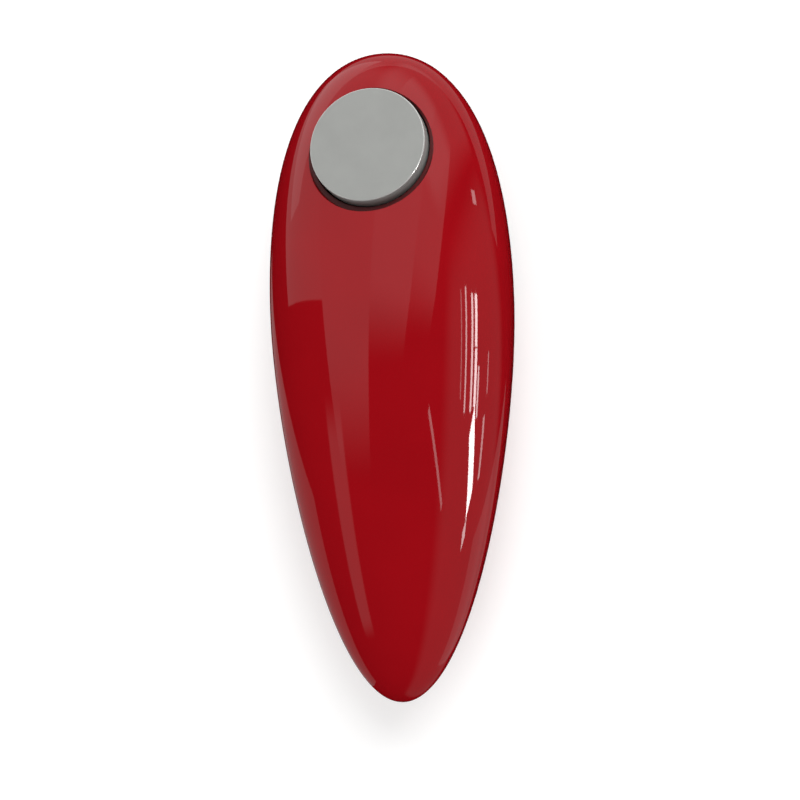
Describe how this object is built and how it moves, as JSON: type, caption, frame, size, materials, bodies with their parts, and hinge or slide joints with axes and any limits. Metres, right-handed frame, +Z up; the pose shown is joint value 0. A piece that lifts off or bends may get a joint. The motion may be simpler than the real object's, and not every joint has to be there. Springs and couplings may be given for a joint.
{
  "type": "electric can opener",
  "caption": "Battery can opener with a glossy egg-shaped body, a round button on top and a cutter and drive wheel under its blunt head.",
  "frame": {"origin": "middle of the body box in plan, on the surface the flat belly rests on", "axes": "+Y from the pointed tail to the blunt head, +Z up through the button, +X to the right"},
  "size_m": [0.065, 0.17, 0.0495],
  "materials": {
    "red_shell": "glossy lacquered red moulding",
    "silver_button": "satin silver with a fine grain",
    "gasket": "soft dark seal",
    "black_plastic": "fine spark-eroded texture",
    "dark_plastic": "fine moulded texture",
    "white_plastic": "natural acetal",
    "steel": "turned and brushed steel",
    "cutter_steel": "ground hardened steel",
    "zinc": "zinc-plated steel",
    "nickel": "nickel plate",
    "brass": "machined brass",
    "bronze": "sintered bronze",
    "magnet": "nickel-plated magnet",
    "ferrite": "ferrite",
    "board": "green solder mask",
    "cell_jacket": "printed sleeve, no text",
    "red_insulation": "soft insulation",
    "black_insulation": "soft insulation"
  },
  "bodies": {
    "housing": {"upper_shell": "red_shell", "lower_shell": "red_shell", "seam_gasket": "gasket", "shell_screws": "zinc", "plate_screws": "zinc", "gearbox_screws": "zinc", "button_spring": "steel", "switch_body": "black_plastic", "switch_board": "board", "cell_1": "cell_jacket", "cell_2": "cell_jacket", "cell_3": "cell_jacket", "cell_4": "cell_jacket", "battery_cradle": "dark_plastic", "contact_plates": "nickel", "contact_springs": "nickel", "motor_can": "zinc", "motor_magnets": "ferrite", "motor_end_cap": "white_plastic", "motor_terminals": "brass", "motor_saddle": "dark_plastic", "motor_strap": "steel", "mechanism_plate": "black_plastic", "spindle_bush": "bronze", "carrier_bush": "bronze", "magnet_cup": "black_plastic", "lid_magnet": "magnet", "gearbox_frame": "dark_plastic", "gearbox_midplate": "steel", "first_axle": "steel", "second_axle": "steel", "red_lead": "red_insulation", "black_lead": "black_insulation"},
    "button": {"button_cap": "silver_button", "button_plunger": "black_plastic", "switch_stem": "white_plastic"},
    "motor_rotor": {"motor_shaft": "steel", "motor_armature": "steel", "worm": "brass"},
    "first_gear_body": {"first_gear": "white_plastic"},
    "second_gear_body": {"second_gear": "white_plastic"},
    "spindle_body": {"spindle": "steel", "final_gear": "white_plastic", "spindle_gear": "steel", "drive_wheel": "cutter_steel", "drive_nut": "zinc"},
    "clutch_body": {"clutch_gear": "white_plastic"},
    "carrier": {"carrier_shaft": "steel", "clutch_spring": "steel", "clutch_ring": "steel", "cutter_arm": "steel", "cutter_axle": "steel"},
    "cutter": {"cutter_wheel": "cutter_steel"},
    "cover": {"battery_cover": "red_shell"}
  },
  "joints": [
    {"name": "button_press", "type": "slide", "parent": "housing", "child": "button", "axis": [0, -0.1994, -0.9799], "range_m": [0, 0.0016], "stiffness_N_per_m": 500, "springref_m": -0.002, "deforming": ["button_spring"]},
    {"name": "motor_spin", "type": "hinge", "parent": "housing", "child": "motor_rotor", "pos_m": [0, 0.04, 0.0305], "axis": [0, 1, 0], "continuous": true},
    {"name": "first_gear_spin", "type": "hinge", "parent": "housing", "child": "first_gear_body", "pos_m": [0.0112, 0.05375, 0.03], "axis": [0, 0, 1], "continuous": true},
    {"name": "second_gear_spin", "type": "hinge", "parent": "housing", "child": "second_gear_body", "pos_m": [0.00905, 0.06621, 0.024], "axis": [0, 0, 1], "continuous": true},
    {"name": "spindle_spin", "type": "hinge", "parent": "housing", "child": "spindle_body", "pos_m": [0, 0.052, 0.014], "axis": [0, 0, 1], "continuous": true},
    {"name": "clutch_gear_spin", "type": "hinge", "parent": "housing", "child": "clutch_body", "pos_m": [0.00922, 0.03695, 0.016], "axis": [0, 0, 1], "continuous": true},
    {"name": "cutter_swing", "type": "hinge", "parent": "housing", "child": "carrier", "pos_m": [0.00922, 0.03695, 0.012], "axis": [0, 0, -1], "range_deg": [0, 60]},
    {"name": "cutter_wheel_spin", "type": "hinge", "parent": "carrier", "child": "cutter", "pos_m": [0.00416, 0.02927, 0.0085], "axis": [0, 0, 1], "continuous": true},
    {"name": "cover_lift", "type": "slide", "parent": "housing", "child": "cover", "axis": [0, 0, -1], "range_m": [0, 0.045]}
  ],
  "couplings": [
    {"joint": "first_gear_spin", "follows": "motor_spin", "ratio": 0.035714},
    {"joint": "second_gear_spin", "follows": "motor_spin", "ratio": -0.011161},
    {"joint": "spindle_spin", "follows": "motor_spin", "ratio": 0.0034877},
    {"joint": "clutch_gear_spin", "follows": "motor_spin", "ratio": -0.001993}
  ]
}
